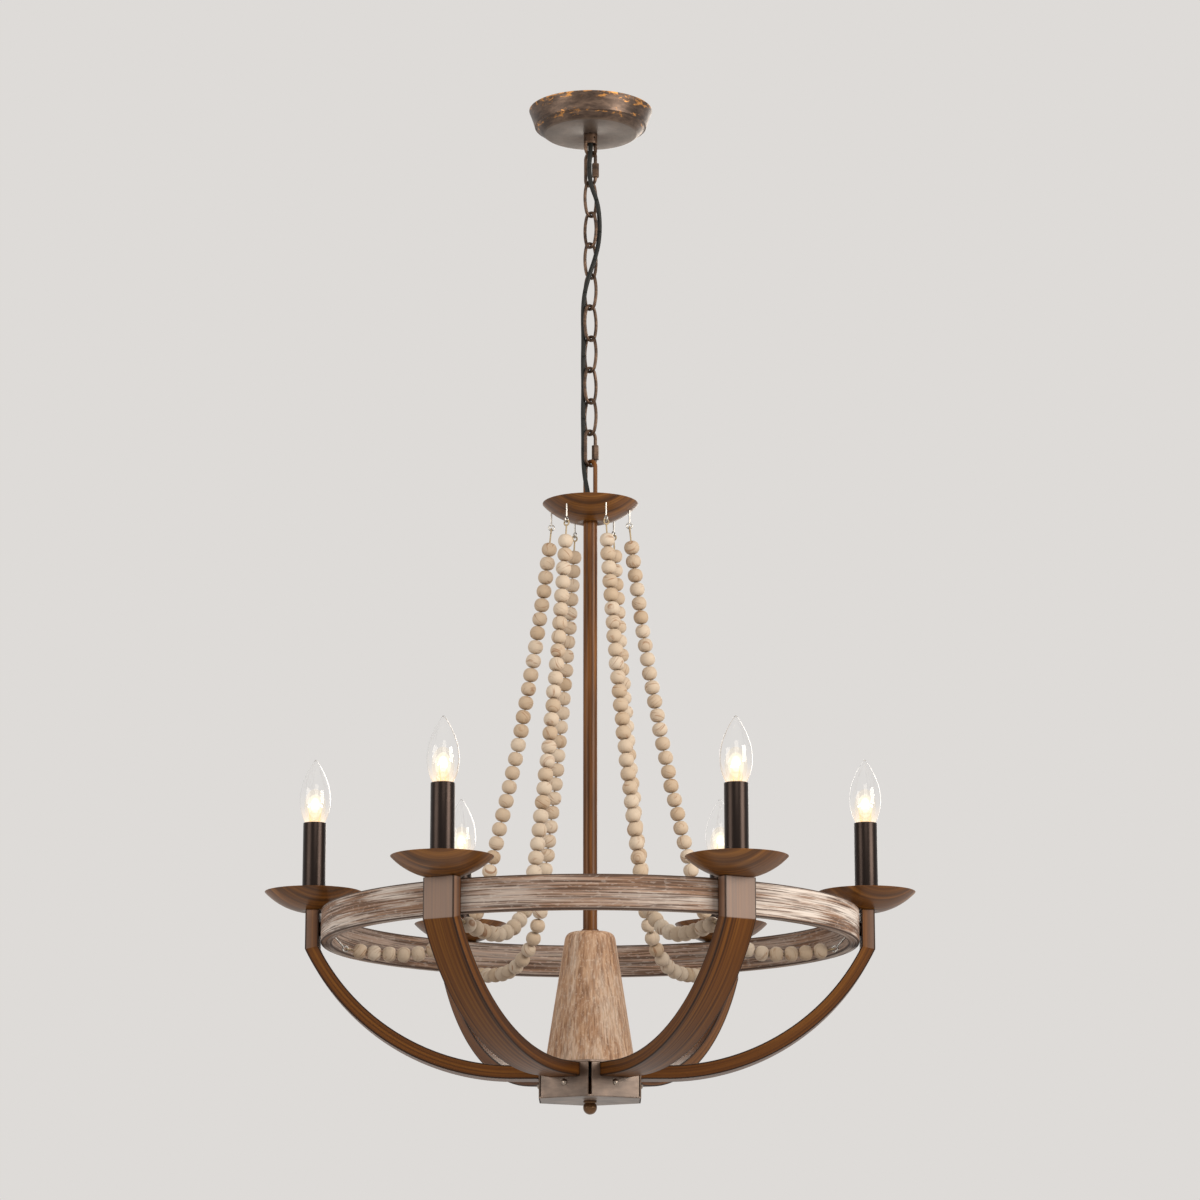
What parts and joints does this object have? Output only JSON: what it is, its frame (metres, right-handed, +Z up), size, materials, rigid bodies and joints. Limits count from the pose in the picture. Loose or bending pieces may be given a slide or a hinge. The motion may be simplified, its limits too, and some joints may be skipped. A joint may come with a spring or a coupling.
{
  "type": "chandelier",
  "caption": "Wooden chandelier on a chain: curved arms carry candle bulbs over drip dishes round a whitewashed hoop, with bead strands draped from a top dish.",
  "frame": {"origin": "centre of the ceiling fixing, on the ceiling plane", "axes": "+Z up into the ceiling, so the lamp hangs along -Z; the camera of the picture is on the -Y side; arm 1 points along +X"},
  "size_m": [0.7282, 0.6452, 1.1681],
  "materials": {
    "zinc_steel": "plain zinc-plated strip and nuts",
    "aged_bronze": "dark bronze with gold rubbed through at the edges",
    "brown_metal": "satin brown",
    "grain_metal": "satin paint brushed to look like brown wood grain",
    "hub_metal": "satin grey brown",
    "worn_wood": "light brown stain, worn, grain upright",
    "whitewashed_wood": "whitewashed and distressed, grain along the hoop",
    "natural_wood": "bare turned wood",
    "string": "plain twisted string",
    "black_metal": "satin black",
    "dark_steel": "dark fasteners",
    "steel_wire": "bright bent wire",
    "holder_plastic": "black moulded plastic",
    "black_cord": "black cord jacket",
    "clear_glass": "clear candle bulb, lit warm white",
    "bulb_metal": "plain bulb base"
  },
  "bodies": {
    "ceiling_mount": {"mounting_strap": "zinc_steel", "strap_nipple": "zinc_steel", "nipple_nuts": "zinc_steel", "canopy_cup": "aged_bronze", "canopy_loop": "aged_bronze", "ceiling_leads": "black_cord", "supply_cord": "black_cord"},
    "upper_link": {"upper_quick_link": "aged_bronze"},
    "upper_nut": {"upper_sleeve_nut": "aged_bronze"},
    "chain_1": {"chain_link_1": "aged_bronze"},
    "chain_2": {"chain_link_2": "aged_bronze"},
    "chain_3": {"chain_link_3": "aged_bronze"},
    "chain_4": {"chain_link_4": "aged_bronze"},
    "chain_5": {"chain_link_5": "aged_bronze"},
    "chain_6": {"chain_link_6": "aged_bronze"},
    "chain_7": {"chain_link_7": "aged_bronze"},
    "chain_8": {"chain_link_8": "aged_bronze"},
    "lower_link": {"lower_quick_link": "aged_bronze"},
    "lower_nut": {"lower_sleeve_nut": "aged_bronze"},
    "lamp": {"hanger_loop": "brown_metal", "top_dish": "grain_metal", "stem_tube": "brown_metal", "stem_collar": "brown_metal", "cone": "worn_wood", "hub_lid": "hub_metal", "hub_tray": "hub_metal", "finial": "brown_metal", "hoop": "whitewashed_wood", "arms": "grain_metal", "drip_dishes": "grain_metal", "candle_sleeves": "black_metal", "lamp_holders": "holder_plastic", "arm_fasteners": "dark_steel", "lamp_wiring": "black_cord", "wire_junction": "holder_plastic", "strand_hooks": "steel_wire"},
    "bulb_1": {"bulb_glass_1": "clear_glass", "bulb_base_1": "bulb_metal"},
    "strand_1": {"bead_strand_1": "natural_wood", "strand_string_1": "string"},
    "bulb_2": {"bulb_glass_2": "clear_glass", "bulb_base_2": "bulb_metal"},
    "strand_2": {"bead_strand_2": "natural_wood", "strand_string_2": "string"},
    "bulb_3": {"bulb_glass_3": "clear_glass", "bulb_base_3": "bulb_metal"},
    "strand_3": {"bead_strand_3": "natural_wood", "strand_string_3": "string"},
    "bulb_4": {"bulb_glass_4": "clear_glass", "bulb_base_4": "bulb_metal"},
    "strand_4": {"bead_strand_4": "natural_wood", "strand_string_4": "string"},
    "bulb_5": {"bulb_glass_5": "clear_glass", "bulb_base_5": "bulb_metal"},
    "strand_5": {"bead_strand_5": "natural_wood", "strand_string_5": "string"},
    "bulb_6": {"bulb_glass_6": "clear_glass", "bulb_base_6": "bulb_metal"},
    "strand_6": {"bead_strand_6": "natural_wood", "strand_string_6": "string"}
  },
  "joints": [
    {"name": "upper_link_swing", "type": "hinge", "parent": "ceiling_mount", "child": "upper_link", "pos_m": [0, 0, -0.055], "axis": [0.7071, 0.7071, 0], "range_deg": [-8, 8], "deforming": ["supply_cord"]},
    {"name": "chain_1_swing", "type": "hinge", "parent": "upper_link", "child": "chain_1", "pos_m": [0, 0, -0.0917], "axis": [0.7071, -0.7071, 0], "range_deg": [-8, 8], "deforming": ["supply_cord"]},
    {"name": "chain_2_swing", "type": "hinge", "parent": "chain_1", "child": "chain_2", "pos_m": [0, 0, -0.1291], "axis": [0.7071, 0.7071, 0], "range_deg": [-8, 8], "deforming": ["supply_cord"]},
    {"name": "chain_3_swing", "type": "hinge", "parent": "chain_2", "child": "chain_3", "pos_m": [0, 0, -0.1666], "axis": [0.7071, -0.7071, 0], "range_deg": [-8, 8], "deforming": ["supply_cord"]},
    {"name": "chain_4_swing", "type": "hinge", "parent": "chain_3", "child": "chain_4", "pos_m": [0, 0, -0.2041], "axis": [0.7071, 0.7071, 0], "range_deg": [-8, 8], "deforming": ["supply_cord"]},
    {"name": "chain_5_swing", "type": "hinge", "parent": "chain_4", "child": "chain_5", "pos_m": [0, 0, -0.2416], "axis": [0.7071, -0.7071, 0], "range_deg": [-8, 8], "deforming": ["supply_cord"]},
    {"name": "chain_6_swing", "type": "hinge", "parent": "chain_5", "child": "chain_6", "pos_m": [0, 0, -0.2791], "axis": [0.7071, 0.7071, 0], "range_deg": [-8, 8], "deforming": ["supply_cord"]},
    {"name": "chain_7_swing", "type": "hinge", "parent": "chain_6", "child": "chain_7", "pos_m": [0, 0, -0.3166], "axis": [0.7071, -0.7071, 0], "range_deg": [-8, 8], "deforming": ["supply_cord"]},
    {"name": "chain_8_swing", "type": "hinge", "parent": "chain_7", "child": "chain_8", "pos_m": [0, 0, -0.3541], "axis": [0.7071, 0.7071, 0], "range_deg": [-8, 8], "deforming": ["supply_cord"]},
    {"name": "lower_link_swing", "type": "hinge", "parent": "chain_8", "child": "lower_link", "pos_m": [0, 0, -0.3916], "axis": [0.7071, -0.7071, 0], "range_deg": [-8, 8], "deforming": ["supply_cord"]},
    {"name": "lamp_swing", "type": "hinge", "parent": "lower_link", "child": "lamp", "pos_m": [0, 0, -0.4284], "axis": [0.7071, 0.7071, 0], "range_deg": [-8, 8], "deforming": ["supply_cord"]},
    {"name": "upper_nut_unscrew", "type": "slide", "parent": "upper_link", "child": "upper_nut", "axis": [0, 0, 1], "range_m": [0, 0.0075]},
    {"name": "lower_nut_unscrew", "type": "slide", "parent": "lower_link", "child": "lower_nut", "axis": [0, 0, 1], "range_m": [0, 0.0075]},
    {"name": "bulb_1_unscrew", "type": "slide", "parent": "lamp", "child": "bulb_1", "axis": [0, 0, 1], "range_m": [0, 0.045]},
    {"name": "bulb_2_unscrew", "type": "slide", "parent": "lamp", "child": "bulb_2", "axis": [0, 0, 1], "range_m": [0, 0.045]},
    {"name": "bulb_3_unscrew", "type": "slide", "parent": "lamp", "child": "bulb_3", "axis": [0, 0, 1], "range_m": [0, 0.045]},
    {"name": "bulb_4_unscrew", "type": "slide", "parent": "lamp", "child": "bulb_4", "axis": [0, 0, 1], "range_m": [0, 0.045]},
    {"name": "bulb_5_unscrew", "type": "slide", "parent": "lamp", "child": "bulb_5", "axis": [0, 0, 1], "range_m": [0, 0.045]},
    {"name": "bulb_6_unscrew", "type": "slide", "parent": "lamp", "child": "bulb_6", "axis": [0, 0, 1], "range_m": [0, 0.045]},
    {"name": "strand_1_sway", "type": "hinge", "parent": "lamp", "child": "strand_1", "pos_m": [0.04471, -0.00509, -0.50262], "axis": [0.425, 0.0096, -0.9052], "range_deg": [-10, 10]},
    {"name": "strand_2_sway", "type": "hinge", "parent": "lamp", "child": "strand_2", "pos_m": [0.02677, 0.03617, -0.50262], "axis": [0.2042, 0.3728, -0.9052], "range_deg": [-10, 10]},
    {"name": "strand_3_sway", "type": "hinge", "parent": "lamp", "child": "strand_3", "pos_m": [-0.01794, 0.04127, -0.50262], "axis": [-0.2208, 0.3632, -0.9052], "range_deg": [-10, 10]},
    {"name": "strand_4_sway", "type": "hinge", "parent": "lamp", "child": "strand_4", "pos_m": [-0.04471, 0.00509, -0.50262], "axis": [-0.425, -0.0096, -0.9052], "range_deg": [-10, 10]},
    {"name": "strand_5_sway", "type": "hinge", "parent": "lamp", "child": "strand_5", "pos_m": [-0.02677, -0.03617, -0.50262], "axis": [-0.2042, -0.3728, -0.9052], "range_deg": [-10, 10]},
    {"name": "strand_6_sway", "type": "hinge", "parent": "lamp", "child": "strand_6", "pos_m": [0.01794, -0.04127, -0.50262], "axis": [0.2208, -0.3632, -0.9052], "range_deg": [-10, 10]}
  ]
}
